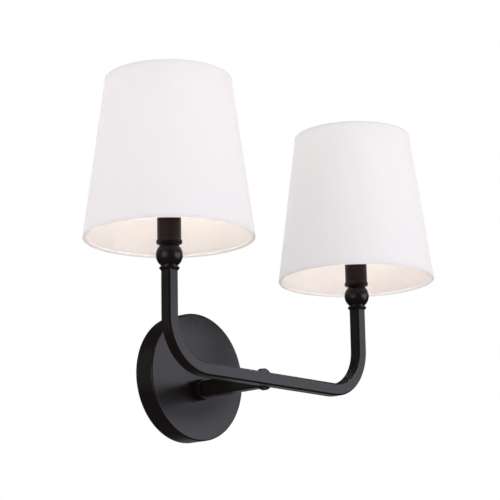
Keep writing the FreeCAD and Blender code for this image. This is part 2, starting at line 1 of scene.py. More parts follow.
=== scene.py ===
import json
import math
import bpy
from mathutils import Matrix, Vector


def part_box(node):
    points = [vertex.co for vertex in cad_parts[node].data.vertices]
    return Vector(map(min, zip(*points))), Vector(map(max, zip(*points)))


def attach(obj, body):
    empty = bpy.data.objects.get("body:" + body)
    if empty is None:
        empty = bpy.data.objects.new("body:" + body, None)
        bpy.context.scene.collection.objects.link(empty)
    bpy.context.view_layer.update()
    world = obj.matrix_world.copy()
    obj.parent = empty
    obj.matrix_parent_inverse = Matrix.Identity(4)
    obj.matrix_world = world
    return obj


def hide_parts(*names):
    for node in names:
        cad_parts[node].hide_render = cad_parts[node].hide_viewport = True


bl_info = {
    "name": "Double arm wall sconce",
    "version": (1, 0, 0),
    "blender": (4, 5, 0),
    "location": "3D View > Sidebar > Sconce",
    "description": "Dresses the packed model of a two light wall sconce with fabric shades",
    "category": "Object",
}

import bmesh
import bpy
from bpy.props import FloatProperty, FloatVectorProperty, IntProperty, PointerProperty
from mathutils import Euler, Matrix, Vector

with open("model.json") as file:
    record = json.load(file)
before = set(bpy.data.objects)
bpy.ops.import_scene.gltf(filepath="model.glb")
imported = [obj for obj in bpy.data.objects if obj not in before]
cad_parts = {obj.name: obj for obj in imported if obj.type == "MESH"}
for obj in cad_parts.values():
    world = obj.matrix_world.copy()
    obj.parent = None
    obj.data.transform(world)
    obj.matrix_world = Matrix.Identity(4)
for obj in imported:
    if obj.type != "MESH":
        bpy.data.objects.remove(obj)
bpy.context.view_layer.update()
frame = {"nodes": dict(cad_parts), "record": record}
NODES = frame["nodes"]
SIDES = ("left", "right")
MM = 0.001

# The length over which cloth rises on to a lap, and how far the tape's lap lies beside the cover's
SEAM_RAMP = 1.5 * MM
TAPE_SEAM_OFFSET = 12.0 * MM

# How the cloth, the arm, the threads and the connectors are divided
COVER_COLUMNS = 421
COVER_ROWS = 9
TAPE_STEPS = 320
FOLD_STEPS = 8
LEG_STEPS = 3
ARM_CORNER_STEPS = 1
ARM_EDGE_STEPS = 2
ROWS_PER_PITCH = 8
THREAD_STEPS = 64
PIPE_STEPS = 40
RIDGE_STEPS = 48
RIDGE_SIDES = 8
CONNECTOR_ROWS = 24
TIP_ROWS = 6
RIB_STEPS = 8

# Angles in degrees above which an edge stays crisp
CREASE = 30.0
ARM_CREASE = 8.0
THREAD_CREASE = 40.0
RIDGE_CREASE = 50.0

# How far the lapped end of a tape stands out, in thicknesses of the tape
TAPE_LIFT = 1.2

# How far the fabric stays inside the CAD cover
COVER_GAP = 0.05 * MM

# How far below its top a tapered CAD node is measured
RIM_DEPTH = 0.2 * MM

# So long a pitch that the ribs of a connector run straight
RIB_PITCH = 1.0

# How close two corners of a CAD mesh lie when they are one
MERGE_REACH = 0.001 * MM

# How far a corner may lie from a rounded edge that it belongs to
EDGE_REACH = 0.05 * MM

# How brightly the black bronze paint and the sleeves' enamel mirror
PAINT_GLOSS = 0.14
SLEEVE_GLOSS = 0.16

# The share of a shade's look that lets light through
LIGHT_SHARE = 0.38


def reach(node):
    """Half the width of a CAD node that is round about an upright axis."""
    low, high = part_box(node)
    return (high[0] - low[0]) / 2


def upright_axis(side):
    """Where the upright of one side stands, as x and y."""
    low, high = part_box(side + "_candle_sleeve")
    return ((low[0] + high[0]) / 2, (low[1] + high[1]) / 2)


def levels(node):
    """The lowest and the highest level of a CAD node."""
    low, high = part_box(node)
    return low[2], high[2]


def top_reach(node):
    """The radius of a tapered CAD node at its top, about its own axis."""
    low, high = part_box(node)
    centre_x = (low[0] + high[0]) / 2
    centre_y = (low[1] + high[1]) / 2
    mesh = NODES[node].data
    level = high[2] - RIM_DEPTH
    return max(
        math.hypot(vertex.co.x - centre_x, vertex.co.y - centre_y)
        for vertex in mesh.vertices
        if vertex.co.z > level
    )


def metres(name, description, size):
    """A length setting."""
    return FloatProperty(name=name, description=description, unit="LENGTH", default=size)


def degrees(name, description, angle):
    """An angle, written in degrees."""
    turn = math.radians(angle)
    return FloatProperty(name=name, description=description, subtype="ANGLE", default=turn)


def fraction(name, description, share):
    """A setting from 0 to 1."""
    return FloatProperty(
        name=name, description=description, subtype="FACTOR", min=0.0, max=1.0, default=share
    )


def amount(name, description, number):
    """A plain number."""
    return FloatProperty(name=name, description=description, default=number)


def tint(name, description, tone):
    """A colour setting."""
    return FloatVectorProperty(
        name=name, description=description, subtype="COLOR", size=3, min=0.0, max=1.0, default=tone
    )


ARM_LOW, ARM_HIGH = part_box("arm_tube")
COVER_LOW, COVER_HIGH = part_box("left_shade_cover")
COVER_BOTTOM = reach("left_shade_cover") - COVER_GAP
COVER_TOP = top_reach("left_shade_cover") - COVER_GAP


class SconceMetal(bpy.types.PropertyGroup):
    """Sizes and colours of the metal, the threads and the connectors"""

    paint: tint("Paint", "Colour of the black bronze paint", (0.0060, 0.0042, 0.0038))
    sleeve_paint: tint("Sleeve paint", "Colour of the candle sleeves' enamel", (0.0090, 0.0035, 0.0030))
    roughness: fraction("Roughness", "How matt the paint is", 0.28)
    sleeve_roughness: fraction("Sleeve roughness", "How matt the sleeves' enamel is", 0.34)
    connector_length: metres("Connector length", "Length of a wire connector", 20.0 * MM)
    connector_taper: metres("Connector taper", "Length of a wire connector below its tip", 17.0 * MM)
    connector_mouth: metres("Connector mouth", "Width of a wire connector at its mouth", 11.0 * MM)
    connector_tip: metres("Connector tip", "Width of a wire connector at its tip", 7.5 * MM)
    connector_bore: metres("Connector bore", "Width of a wire connector's hole for the leads", 3.8 * MM)
    connector_depth: metres("Connector depth", "Depth of that hole", 12.0 * MM)
    connector_skirt: metres("Connector skirt", "Plain band at the mouth of a wire connector", 2.0 * MM)
    connector_rib: metres("Connector rib", "Depth of the grooves between its ribs", 0.5 * MM)
    connector_ribs: IntProperty(
        name="Connector ribs", description="Ribs round a wire connector", min=4, default=14
    )
    canopy_edge: metres("Canopy edge", "Rounding of the canopy's front edge", 1.6 * MM)
    tube_width: metres("Tube width", "Outside width of the square arm tube", ARM_HIGH[1] - ARM_LOW[1])
    tube_corner: metres("Tube corner", "Cut at each corner of the arm tube", 1.5 * MM)
    tube_edge: metres("Tube edge", "Rounding of the edges beside each corner cut", 0.15 * MM)
    tube_bend: metres("Tube bend", "Bend radius of the arm tube's centreline", 44.45 * MM)
    bend_steps: IntProperty(
        name="Bend steps", description="Straight steps in each quarter bend", min=8, default=40
    )
    bulb_pitch: metres("Bulb pitch", "Pitch of the candle bulbs' thread, ten to the inch", 2.54 * MM)
    bulb_thread: metres("Bulb thread", "Depth of the thread on bulb caps and shells", 0.5 * MM)
    cap_taper: metres("Cap taper", "Height and width of the bevel at the foot of a bulb cap", 2.0 * MM)
    cap_collar: metres("Cap collar", "Plain stretch of a bulb cap above its thread", 3.0 * MM)
    cap_wall: metres("Cap wall", "Thickness of a bulb cap's brass", 0.5 * MM)
    shell_wall: metres("Shell wall", "Thickness of a screw shell's brass", 0.35 * MM)
    shell_lip: metres("Shell lip", "Plain stretch at the mouth of a screw shell", 1.0 * MM)
    pipe_pitch: metres("Pipe pitch", "Pitch of the pipe thread, 27 to the inch", 0.94 * MM)
    pipe_thread: metres("Pipe thread", "Depth of the fine pipe thread", 0.45 * MM)
    pipe_thread_length: metres("Pipe thread length", "Thread at each end of the stem pipe", 14.0 * MM)
    pipe_bore: metres("Pipe bore", "Bore of the stem pipe", 5.8 * MM)
    holder_radius: metres("Holder radius", "Radius of the lamp holder's threaded post", 13.0 * MM)
    holder_pitch: metres("Holder pitch", "Pitch of the lamp holder's outside thread", 2.0 * MM)
    holder_ridge: metres("Holder ridge", "Height of the ridge of that thread", 0.35 * MM)
    nipple_bore: metres("Nipple bore", "Bore of the nipples under the sleeves", 5.6 * MM)


class SconceShade(bpy.types.PropertyGroup):
    """Sizes and colours of the shades"""

    bottom_radius: metres("Bottom radius", "Outside radius of the cover's lower edge", COVER_BOTTOM)
    top_radius: metres("Top radius", "Outside radius of the cover's upper edge", COVER_TOP)
    height: metres("Height", "Height of the cover", COVER_HIGH[2] - COVER_LOW[2])
    cover_thickness: metres("Cover thickness", "Thickness of the fabric", 0.45 * MM)
    seam_lap: metres("Seam lap", "Width of the glued lap at the back", 9.0 * MM)
    seam_rise: metres("Seam rise", "How far the upper end of the lap stands out", 0.5 * MM)
    wall: metres(
        "Wall", "Thickness of the cover, the liner and both legs of the edge tape together", 1.35 * MM
    )
    tape_outside: metres("Tape outside", "How far the edge tape reaches over the cover", 0.9 * MM)
    tape_inside: metres("Tape inside", "How far the edge tape reaches over the liner", 2.6 * MM)
    tape_thickness: metres("Tape thickness", "Thickness of the edge tape", 0.2 * MM)
    tape_lap: metres("Tape lap", "Length of the edge tape's lapped ends", 12.0 * MM)
    fabric: tint("Fabric", "Colour of the fabric", (0.93, 0.925, 0.92))
    liner: tint("Liner", "Colour of the liner", (0.93, 0.91, 0.89))
    thread_pitch: metres("Thread pitch", "Distance between the fabric's threads", 0.55 * MM)


class SconceStage(bpy.types.PropertyGroup):
    """Camera, floor and lights"""

    camera_place: FloatVectorProperty(
        name="Camera place",
        description="Where the camera stands",
        subtype="TRANSLATION",
        size=3,
        default=(-1.2543, -1.2655, -0.2968),
    )
    camera_yaw: degrees("Camera yaw", "Turn of the view from +Y towards +X", 46.98)
    camera_pitch: degrees("Camera pitch", "Rise of the view above the horizon", 13.54)
    camera_roll: degrees("Camera roll", "Turn of the picture about the view", -0.98)
    lens: amount("Lens", "Focal length in millimetres on a 36 mm sensor", 129.9)
    floor_height: metres("Floor height", "Height of the floor below the canopy's middle", -1.6)
    lamp_colour: tint("Lamp colour", "Colour of the glow inside each shade", (1.0, 0.877, 0.782))
    ambient_colour: tint("Ambient colour", "Colour of the light from all round", (1.0, 0.973, 1.0))
    lamp_power: amount("Lamp power", "Glow inside each shade, in watts", 0.47)
    glow_radius: metres("Glow radius", "Size of the glow, wider than the bulb's glass", 0.022)
    glow_height: fraction("Glow height", "Place of the glow up the bulb's glass", 0.33)
    ambient: amount("Ambient", "Strength of the light from all round", 1.05)
    mirrored: amount("Mirrored ambient", "Strength of that light in glossy surfaces", 0.06)


WHITE = (1.0, 1.0, 1.0)
COOL = (0.86, 0.87, 1.0)
WARM = (1.0, 0.93, 0.92)

# The camera's sensor in millimetres, the nearest that it sees, and half the floor's width in metres
SENSOR_WIDTH = 36.0
NEAREST_SEEN = 0.01
FLOOR_HALF = 20.0

# How brightly the floor shines by itself, so that no horizon shows
FLOOR_GLOW = 0.12

# Where the softboxes point
TARGET = Vector((0.0, -0.08, 0.08))

# Name, place, width and height in metres, power in watts, colour, and whether cloth and floor are lit
SOFTBOXES = (
    ("Right front softbox", (0.59, -2.29, 0.05), 1.4, 1.2, 12.5, COOL, True),
    ("Left softbox", (-2.29, -0.20, 0.25), 0.9, 0.9, 4.2, COOL, True),
    ("High softbox", (-1.90, -1.60, 2.10), 1.6, 1.6, 4.0, WARM, True),
    ("Left back softbox", (-1.50, 1.40, 0.50), 1.2, 1.8, 2.8, WARM, True),
    ("Right back softbox", (1.60, 1.60, -0.30), 1.4, 1.4, 1.6, WARM, True),
    ("Back softbox", (0.20, 2.40, 0.90), 1.6, 1.2, 3.0, COOL, True),
    ("Right glint", (1.25, -1.98, 0.0), 2.0, 1.4, 47.0, COOL, False),
    ("Left glint", (-2.29, -0.15, -0.06), 1.9, 1.5, 36.0, COOL, False),
)


class Nodes:
    """A node tree with short ways to add nodes and join them."""

    def __init__(self, tree):
        self.tree = tree

    def add(self, kind, feeds=None, **settings):
        """Add a node with its settings, and feed its inputs by name or number."""
        node = self.tree.nodes.new(kind)
        for key, value in settings.items():
            setattr(node, key, value)
        for key, value in (feeds or {}).items():
            self.feed(node.inputs[key], value)
        return node

    def feed(self, socket, value):
        """Join a socket to another one, or set its constant."""
        if isinstance(value, bpy.types.NodeSocket):
            self.tree.links.new(value, socket)
        else:
            socket.default_value = value

    def maths(self, operation, first, second=0.0):
        return self.add("ShaderNodeMath", {0: first, 1: second}, operation=operation).outputs[0]

    def plus(self, first, second):
        return self.maths("ADD", first, second)

    def minus(self, first, second):
        return self.maths("SUBTRACT", first, second)

    def times(self, first, second):
        return self.maths("MULTIPLY", first, second)

    def over(self, first, second):
        return self.maths("DIVIDE", first, second)


class Recipe(Nodes):
    """The node tree of one material."""

    def __init__(self, name):
        self.material = bpy.data.materials.new(name)
        self.material.use_nodes = True
        super().__init__(self.material.node_tree)
        self.tree.nodes.clear()
        self.output = self.add("ShaderNodeOutputMaterial")
        self.places = self.add("ShaderNodeTexCoord").outputs["Object"]

    def noise(self, scale, detail=3.0, roughness=0.5, places=None):
        feeds = {"Scale": scale, "Detail": detail, "Roughness": roughness}
        feeds["Vector"] = places or self.places
        return self.add("ShaderNodeTexNoise", feeds).outputs["Fac"]

    def stretched(self, places, scale):
        """Places with their own scale along each axis."""
        return self.add("ShaderNodeMapping", {"Vector": places, "Scale": scale}).outputs[0]

    def span(self, value, low, high):
        """Stretch a value from 0 to 1 onto another range."""
        feeds = {"Value": value, "To Min": low, "To Max": high}
        return self.add("ShaderNodeMapRange", feeds).outputs["Result"]

    def tones(self, value, colour, darkest, lightest):
        """A colour between two factors of one colour."""
        low = (*tinted(colour, darkest), 1.0)
        high = (*tinted(colour, lightest), 1.0)
        return self.add("ShaderNodeMix", {0: value, 6: low, 7: high}, data_type="RGBA").outputs[2]

    def relief(self, height, distance, strength=1.0, under=None):
        """Bumps as high as a distance, on top of the bumps under them."""
        feeds = {"Height": height, "Distance": distance, "Strength": strength}
        if under is not None:
            feeds["Normal"] = under
        return self.add("ShaderNodeBump", feeds).outputs["Normal"]

    def surface(self, **values):
        """The main shader. Keys are socket names with underscores for spaces."""
        feeds = {key.replace("_", " "): value for key, value in values.items()}
        return self.add("ShaderNodeBsdfPrincipled", feeds).outputs[0]

    def lit_through(self, body, tone, normal=None):
        """Let a share of the light pass through the main shader."""
        feeds = {"Color": tone}
        if normal is not None:
            feeds["Normal"] = normal
        through = self.add("ShaderNodeBsdfTranslucent", feeds).outputs[0]
        return self.add("ShaderNodeMixShader", {0: LIGHT_SHARE, 1: body, 2: through}).outputs[0]

    def finish(self, shader):
        """End the tree with a shader, and give its material."""
        self.tree.links.new(shader, self.output.inputs["Surface"])
        return self.material


def tinted(colour, factor):
    """A darker or lighter colour."""
    return tuple(min(1.0, part * factor) for part in colour)


def paint_recipe(name, colour, roughness, gloss=PAINT_GLOSS):
    """Powder paint: a soft cloudy tone, a fine grain and a slight sheen."""
    recipe = Recipe(name)
    clouds = recipe.noise(scale=18.0, detail=4.0)
    grain = recipe.noise(scale=2600.0, detail=2.0)
    shader = recipe.surface(
        Base_Color=recipe.tones(clouds, colour, darkest=0.86, lightest=1.16),
        Roughness=recipe.span(clouds, roughness - 0.025, roughness + 0.025),
        Metallic=0.0,
        Specular_IOR_Level=gloss,
        Normal=recipe.relief(grain, distance=0.03 * MM, strength=0.25),
    )
    return recipe.finish(shader)


def metal_recipe(name, colour, roughness, streak=None):
    """Bare or plated metal with fine scratches, finer along an axis where the streak is above 1."""
    recipe = Recipe(name)
    places = recipe.stretched(recipe.places, streak) if streak else recipe.places
    scratches = recipe.noise(scale=900.0, detail=3.0, roughness=0.6, places=places)
    stains = recipe.noise(scale=70.0, detail=3.0)
    shader = recipe.surface(
        Base_Color=recipe.tones(stains, colour, darkest=0.82, lightest=1.1),
        Roughness=recipe.span(scratches, roughness - 0.08, roughness + 0.12),
        Metallic=1.0,
        Normal=recipe.relief(scratches, distance=0.02 * MM, strength=0.5),
    )
    return recipe.finish(shader)


def plastic_recipe(name, colour, roughness):
    """Moulded plastic with a slight orange peel."""
    recipe = Recipe(name)
    peel = recipe.noise(scale=800.0, detail=2.0)
    flow = recipe.noise(scale=60.0, detail=3.0)
    shader = recipe.surface(
        Base_Color=recipe.tones(flow, colour, darkest=0.9, lightest=1.08),
        Roughness=recipe.span(peel, roughness - 0.05, roughness + 0.05),
        Normal=recipe.relief(peel, distance=0.03 * MM, strength=0.5),
    )
    return recipe.finish(shader)


def fabric_recipe(name, colour, pitch):
    """Plain weave on the piece's own cloth map, in metres, with slubs and some light passing through."""
    recipe = Recipe(name)
    cloth_map = recipe.add("ShaderNodeUVMap", uv_map="cloth").outputs[0]
    across, along, _ = recipe.add("ShaderNodeSeparateXYZ", {0: cloth_map}).outputs
    turns = 2 * math.pi / pitch
    warp = recipe.maths("SINE", recipe.times(across, turns))
    weft = recipe.maths("SINE", recipe.times(along, turns))
    weave = recipe.plus(recipe.times(recipe.times(warp, weft), 0.5), 0.5)
    drawn_out = recipe.stretched(cloth_map, (1.0, 14.0, 1.0))
    slubs = recipe.noise(scale=90.0, detail=3.0, roughness=0.6, places=drawn_out)
    cloud = recipe.noise(scale=25.0, detail=2.0)
    threads = recipe.plus(recipe.times(slubs, 0.6), recipe.times(weave, 0.4))
    tone = recipe.tones(threads, colour, darkest=0.955, lightest=1.03)
    relief = recipe.relief(weave, distance=0.12 * MM, strength=0.5)
    relief = recipe.relief(slubs, distance=0.10 * MM, strength=0.4, under=relief)
    body = recipe.surface(
        Base_Color=tone,
        Roughness=recipe.span(cloud, 0.78, 0.9),
        Specular_IOR_Level=0.15,
        Sheen_Weight=0.25,
        Sheen_Roughness=0.5,
        Normal=relief,
    )
    return recipe.finish(recipe.lit_through(body, tone, relief))


def liner_recipe(name, colour):
    """Stiff translucent sheet with a faint fibre pattern."""
    recipe = Recipe(name)
    fibres = recipe.noise(scale=240.0, detail=4.0, roughness=0.65)
    tone = recipe.tones(fibres, colour, darkest=0.96, lightest=1.03)
    body = recipe.surface(
        Base_Color=tone,
        Roughness=0.6,
        Specular_IOR_Level=0.3,
        Normal=recipe.relief(fibres, distance=0.06 * MM, strength=0.4),
    )
    return recipe.finish(recipe.lit_through(body, tone))


def frosted_recipe(name):
    """Bulb glass etched on the inside."""
    recipe = Recipe(name)
    frost = recipe.noise(scale=1500.0, detail=2.0)
    shader = recipe.surface(
        Base_Color=(0.95, 0.94, 0.92, 1.0),
        Roughness=recipe.span(frost, 0.35, 0.5),
        Transmission_Weight=0.35,
        IOR=1.5,
        Normal=recipe.relief(frost, distance=0.02 * MM, strength=0.4),
    )
    return recipe.finish(shader)


FINISHES = {}


def make_finishes():
    metal = bpy.context.scene.sconce_metal
    shade = bpy.context.scene.sconce_shade
    paint = tuple(metal.paint)
    fabric = tuple(shade.fabric)
    pitch = shade.thread_pitch
    FINISHES.update(
        dark_bronze=paint_recipe("Black bronze paint", paint, metal.roughness),
        sleeve_enamel=paint_recipe(
            "Sleeve enamel", tuple(metal.sleeve_paint), metal.sleeve_roughness, SLEEVE_GLOSS
        ),
        plated_steel=metal_recipe("Zinc plated steel", (0.62, 0.62, 0.60), 0.36),
        black_screws=paint_recipe("Black oxide", tinted(paint, 0.9), 0.5),
        ground_green=paint_recipe("Green lacquered screw", (0.02, 0.17, 0.05), 0.35),
        brass_thread=metal_recipe("Machined brass", (0.75, 0.53, 0.24), 0.3, (1.0, 1.0, 12.0)),
        black_insulation=plastic_recipe("Black insulation", (0.02, 0.02, 0.02), 0.45),
        white_insulation=plastic_recipe("White insulation", (0.8, 0.79, 0.75), 0.45),
        bare_copper=metal_recipe("Bare copper", (0.85, 0.43, 0.26), 0.32, (14.0, 1.0, 1.0)),
        connector_shell=plastic_recipe("Orange connector", (0.75, 0.25, 0.03), 0.35),
        black_moulding=plastic_recipe("Black moulding", (0.025, 0.023, 0.022), 0.5),
        shade_fabric=fabric_recipe("White linen weave", fabric, pitch),
        shade_tape=fabric_recipe("Edge tape weave", tinted(fabric, 0.97), pitch),
        shade_liner=liner_recipe("Cream liner", tuple(shade.liner)),
        painted_wire=paint_recipe("White wire enamel", (0.8, 0.79, 0.76), 0.4),
        frosted_glass=frosted_recipe("Frosted bulb glass"),
        black_glass=plastic_recipe("Black glass bead", (0.02, 0.02, 0.025), 0.15),
        solder=metal_recipe("Solder", (0.6, 0.6, 0.62), 0.45),
    )


class Graph(Nodes):
    """A geometry tree. Keys are the names of its inputs, with underscores for spaces."""

    def __init__(self, name, **inputs):
        super().__init__(bpy.data.node_groups.new(name, "GeometryNodeTree"))
        for label, kind in inputs.items():
            self.tree.interface.new_socket(
                name=label.replace("_", " "), in_out="INPUT", socket_type="NodeSocket" + kind
            )
        self.tree.interface.new_socket(
            name="Geometry", in_out="OUTPUT", socket_type="NodeSocketGeometry"
        )
        self.inputs = self.tree.nodes.new("NodeGroupInput").outputs

    def position(self):
        """The x, y and z of each point."""
        point = self.add("GeometryNodeInputPosition").outputs[0]
        return self.add("ShaderNodeSeparateXYZ", {0: point}).outputs

    def joined(self, x, y, z):
        """One place from its x, y and z."""
        return self.add("ShaderNodeCombineXYZ", {0: x, 1: y, 2: z}).outputs[0]

    def moved(self, geometry, places):
        return self.add("GeometryNodeSetPosition", {"Geometry": geometry, "Position": places}).outputs[0]

    def rounded(self, curve, radius, steps):
        """A curve with an arc of straight steps at each corner."""
        feeds = {"Curve": curve, "Radius": radius, "Count": steps}
        return self.add("GeometryNodeFilletCurve", feeds, mode="POLY").outputs[0]

    def swept(self, path, section):
        """A solid with one section all along a path."""
        feeds = {"Curve": path, "Profile Curve": section, "Fill Caps": True}
        return self.add("GeometryNodeCurveToMesh", feeds).outputs[0]

    def finish(self, geometry, finish):
        """End the tree with a geometry in one finish."""
        real = self.add("GeometryNodeRealizeInstances", {0: geometry}).outputs[0]
        coat = self.add("GeometryNodeSetMaterial", {"Geometry": real, "Material": finish}).outputs[0]
        self.add("NodeGroupOutput", {0: coat})
        return self.tree


def new_object(name, data):
    """A new object in the scene."""
    thing = bpy.data.objects.new(name, data)
    bpy.context.scene.collection.objects.link(thing)
    return thing


def bake_tree(name, tree, values, start=None):
    """Run a geometry tree with its named values, and keep the result as a plain mesh object."""
    mesh = start or bpy.data.meshes.new(name + "_start")
    host = new_object(name + "_host", mesh)
    modifier = host.modifiers.new("Shape", "NODES")
    modifier.node_group = tree
    for item in tree.interface.items_tree:
        if item.item_type == "SOCKET" and item.in_out == "INPUT" and item.name in values:
            modifier[item.identifier] = values[item.name]
    depsgraph = bpy.context.evaluated_depsgraph_get()
    depsgraph.update()
    made = bpy.data.meshes.new_from_object(host.evaluated_get(depsgraph))
    host.modifiers.remove(modifier)
    bpy.data.objects.remove(host)
    made.name = name
    return new_object(name, made)


def shaded_smooth(piece, angle=CREASE):
    """Smooth shading with crisp edges above an angle in degrees."""
    mesh = piece.data
    mesh.shade_smooth()
    mesh.set_sharp_from_angle(angle=math.radians(angle))
    return piece


def settled(piece):
    """Keep what the modifiers of a piece make as its plain mesh."""
    depsgraph = bpy.context.evaluated_depsgraph_get()
    depsgraph.update()
    piece.data = bpy.data.meshes.new_from_object(piece.evaluated_get(depsgraph))
    piece.modifiers.clear()
    return piece


def thickened(piece, thickness):
    """Give a sheet its thickness on the inside, with crisp rims."""
    wall = piece.modifiers.new("Thickness", "SOLIDIFY")
    wall.thickness = thickness
    wall.offset = -1.0
    return shaded_smooth(settled(piece))


def dish_copy(name, node, edge):
    """A merged copy of a dish on the wall, with exact normals on the rounded edge of its front."""
    work = bmesh.new()
    work.from_mesh(NODES[node].data)
    bmesh.ops.remove_doubles(work, verts=work.verts, dist=MERGE_REACH)
    work.verts.index_update()
    points = [tuple(vertex.co) for vertex in work.verts]
    faces = [[vertex.index for vertex in face.verts] for face in work.faces]
    work.free()
    mesh = bpy.data.meshes.new(name)
    mesh.from_pydata(points, [], faces)
    piece = new_object(name, mesh)
    shaded_smooth(piece)
    low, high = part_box(node)
    centre_x = (low[0] + high[0]) / 2
    centre_z = (low[2] + high[2]) / 2
    ring = reach(node) - edge
    normals = [tuple(corner.vector) for corner in mesh.corner_normals]
    for index, loop in enumerate(mesh.loops):
        point = mesh.vertices[loop.vertex_index].co
        spoke = Vector((point.x - centre_x, 0.0, point.z - centre_z))
        outward = spoke.length - ring
        forward = low[1] + edge - point.y
        on_edge = abs(math.hypot(outward, forward) - edge) < EDGE_REACH
        if on_edge and min(outward, forward) > -EDGE_REACH:
            normal = spoke.normalized() * outward - Vector((0.0, forward, 0.0))
            normals[index] = tuple(normal.normalized())
    mesh.normals_split_custom_set(normals)
    return piece


def placed(piece, x, y, z):
    """Shift a new piece's mesh, so that its object stays at the origin."""
    piece.data.transform(Matrix.Translation((x, y, z)))
    return piece


def arm_tree():
    """A square tube with softened corners, swept along a line with rounded corners."""
    lengths = dict.fromkeys(("Width", "Corner", "Edge", "Bend"), "Float")
    graph = Graph("Arm tube sweep", Path="Geometry", **lengths, Bend_steps="Int")
    path = graph.add("GeometryNodeMeshToCurve", {0: graph.inputs["Path"]}).outputs[0]
    bend = graph.rounded(path, graph.inputs["Bend"], graph.inputs["Bend steps"])
    width = graph.inputs["Width"]
    square = graph.add("GeometryNodeCurvePrimitiveQuadrilateral", {"Width": width, "Height": width})
    section = graph.rounded(square.outputs[0], graph.inputs["Corner"], ARM_CORNER_STEPS)
    section = graph.rounded(section, graph.inputs["Edge"], ARM_EDGE_STEPS)
    return graph.finish(graph.swept(bend, section), FINISHES["dark_bronze"])


def drum_tree():
    """Cloth wrapped once round a tapered drum, one end lapped over the other at the back.

    The cloth map holds each point's place on the flat cut, in metres.
    """
    names = ("Bottom_radius", "Top_radius", "Height", "Lap", "Lap_rise")
    lengths = dict.fromkeys(names, "Float")
    graph = Graph("Tapered drum", **lengths, Columns="Int", Rows="Int")
    bottom = graph.inputs["Bottom radius"]
    height = graph.inputs["Height"]
    feeds = {
        "Size X": 1.0,
        "Size Y": 1.0,
        "Vertices X": graph.inputs["Columns"],
        "Vertices Y": graph.inputs["Rows"],
    }
    grid = graph.add("GeometryNodeMeshGrid", feeds).outputs["Mesh"]
    across, up, _ = graph.position()
    share = graph.plus(up, 0.5)
    taper = graph.minus(bottom, graph.inputs["Top radius"])
    radius = graph.minus(bottom, graph.times(taper, share))
    whole = graph.plus(graph.over(graph.inputs["Lap"], radius), 2 * math.pi)
    turn = graph.minus(graph.times(graph.plus(across, 0.5), whole), math.pi)
    feeds = {
        "Value": graph.times(graph.minus(turn, math.pi), radius),
        "From Min": -SEAM_RAMP,
        "From Max": 0.0,
        "To Min": 0.0,
        "To Max": graph.inputs["Lap rise"],
    }
    rise = graph.add("ShaderNodeMapRange", feeds, interpolation_type="SMOOTHSTEP").outputs["Result"]
    lifted = graph.plus(radius, rise)
    sideways = graph.times(graph.maths("SINE", turn), lifted)
    front = graph.times(graph.times(graph.maths("COSINE", turn), -1.0), lifted)
    wrapped = graph.joined(sideways, front, graph.times(share, height))

    slant = graph.maths("SQRT", graph.plus(graph.times(height, height), graph.times(taper, taper)))
    sine = graph.over(taper, slant)
    from_apex = graph.over(radius, sine)
    fan = graph.times(turn, sine)
    below_apex = graph.times(from_apex, graph.maths("COSINE", fan))
    flat_across = graph.times(from_apex, graph.maths("SINE", fan))
    flat = graph.joined(flat_across, graph.minus(graph.over(bottom, sine), below_apex), 0.0)
    feeds = {"Name": "cloth", "Geometry": grid, "Value": flat}
    kind = {"data_type": "FLOAT2", "domain": "CORNER"}
    mapped = graph.add("GeometryNodeStoreNamedAttribute", feeds, **kind).outputs[0]
    wrap = graph.moved(mapped, wrapped)
    smooth = graph.add("GeometryNodeSetShadeSmooth", {"Geometry": wrap}).outputs[0]
    return graph.finish(smooth, FINISHES["shade_fabric"])


def eased(value, low, high):
    """From 0 at low to 1 at high, flat at both ends."""
    share = min(1.0, max(0.0, (value - low) / (high - low)))
    return share * share * (3 - 2 * share)


def tape_section(shade, radius, height, lean, at_top):
    """The section of a tape folded over one edge of a drum, and the way out of the drum.

    Each point of the section has its place and the way out of the tape.
    """
    half = shade.wall / 2
    slope = math.hypot(1.0, lean)
    outward = Vector((1.0, lean)) / slope
    inward = Vector((lean, -1.0)) / slope if at_top else Vector((-lean, 1.0)) / slope
    start = Vector((radius, height)) - outward * half
    inside_leg = shade.tape_inside - half
    outside_leg = shade.tape_outside - half
    path = []
    for step in range(LEG_STEPS, 0, -1):
        row = half + inside_leg * step / LEG_STEPS
        path.append((start + inward * row - outward * half, -outward))
    for step in range(FOLD_STEPS + 1):
        angle = math.pi * (step / FOLD_STEPS - 0.5)
        away = outward * math.sin(angle) - inward * math.cos(angle)
        path.append((start + inward * half + away * half, away))
    for step in range(1, LEG_STEPS + 1):
        row = half + outside_leg * step / LEG_STEPS
        path.append((start + inward * row + outward * half, outward))
    if at_top:
        path.reverse()
    return path, outward


